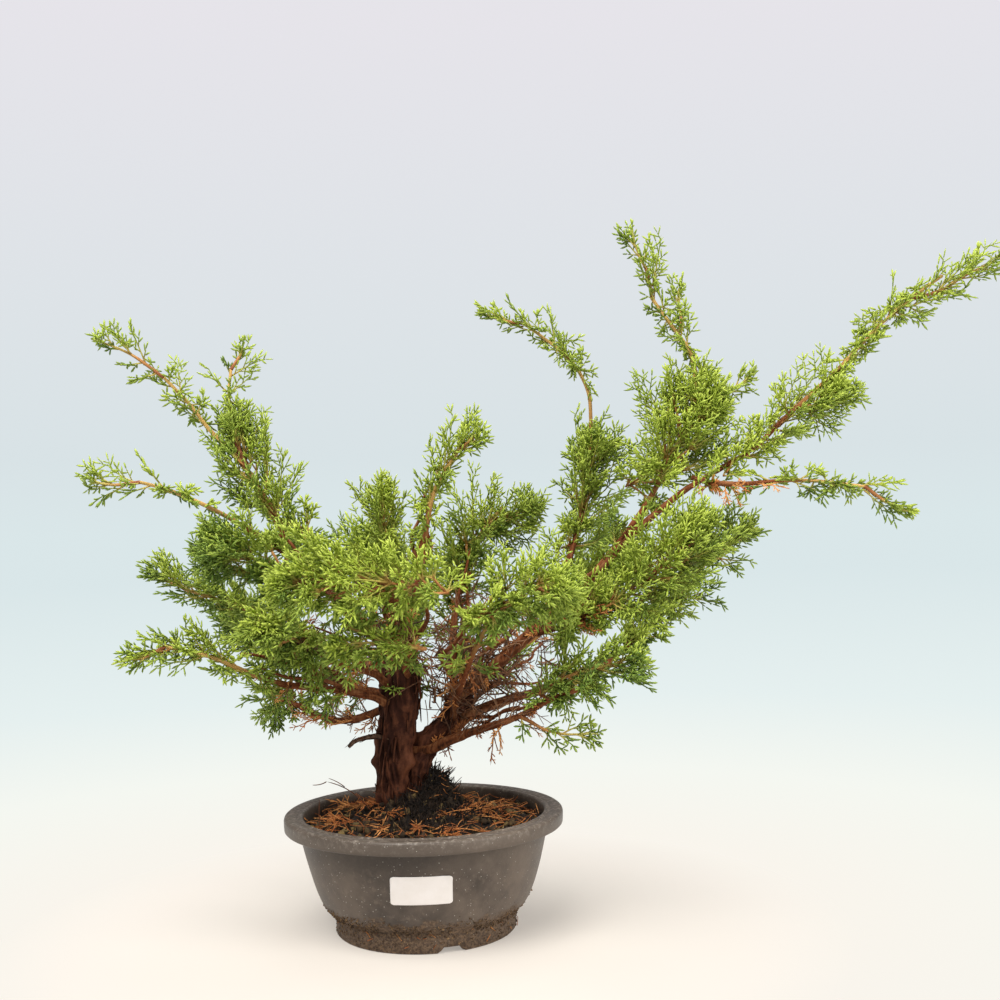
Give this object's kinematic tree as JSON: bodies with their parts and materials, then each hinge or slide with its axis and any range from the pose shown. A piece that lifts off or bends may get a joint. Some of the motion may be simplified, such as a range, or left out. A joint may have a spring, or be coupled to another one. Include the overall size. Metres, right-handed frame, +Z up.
{
  "type": "potted juniper bonsai",
  "caption": "Juniper trained as a bonsai: woody trunk, bare spreading limbs and scale-leaf sprays, in soil in a round flanged plastic pot.",
  "frame": {"origin": "middle of the pot's foot, on the ground it stands on", "axes": "+Z up, +X along the crown's longest reach, -Y towards the front with the label"},
  "size_m": [0.8466, 0.3814, 0.6349],
  "materials": {
    "pot_plastic": "matte",
    "label_paper": "satin",
    "soil_mix": "matte",
    "bark": "matte",
    "limb_bark": "matte",
    "dead_wood": "matte",
    "foliage": "satin"
  },
  "bodies": {
    "root": {"pot": "pot_plastic", "label": "label_paper", "soil": "soil_mix", "trunk": "bark", "right_trunk": "bark", "left_leader_limb": "limb_bark", "left_leader_fork": "limb_bark", "left_middle_limb": "limb_bark", "left_back_limb": "limb_bark", "left_low_limb": "limb_bark", "left_lowest_limb": "limb_bark", "left_front_limb": "limb_bark", "left_rear_limb": "limb_bark", "front_limb": "limb_bark", "front_low_limb": "limb_bark", "centre_limb": "limb_bark", "spire_limb": "limb_bark", "centre_back_limb": "limb_bark", "centre_rear_limb": "limb_bark", "right_front_limb": "limb_bark", "right_lowest_limb": "limb_bark", "right_low_limb": "limb_bark", "right_leader_limb": "limb_bark", "long_limb": "limb_bark", "right_end_limb": "limb_bark", "upright_limb": "limb_bark", "right_middle_limb": "limb_bark", "right_rear_limb": "limb_bark", "dead_stub": "dead_wood", "left_leader_tip": "foliage", "left_leader_side": "foliage", "left_upper_crown": "foliage", "left_middle_tip": "foliage", "left_middle_crown": "foliage", "left_back_plume": "foliage", "left_front_plume": "foliage", "left_low_plume": "foliage", "left_lowest_plume": "foliage", "left_rear_plume": "foliage", "front_crown": "foliage", "front_lower_plume": "foliage", "centre_spire": "foliage", "centre_leader_plume": "foliage", "centre_back_plume": "foliage", "centre_rear_plume": "foliage", "right_front_crown": "foliage", "right_lowest_plume": "foliage", "right_low_sprig": "foliage", "right_low_crown": "foliage", "right_middle_plume": "foliage", "right_crown": "foliage", "right_leader_side": "foliage", "right_leader_tip": "foliage", "right_leader_fork": "foliage", "long_limb_crown": "foliage", "long_limb_tip": "foliage", "right_end_plume": "foliage", "upright_low_plume": "foliage", "upright_tip": "foliage", "right_rear_plume": "foliage"}
  },
  "joints": []
}
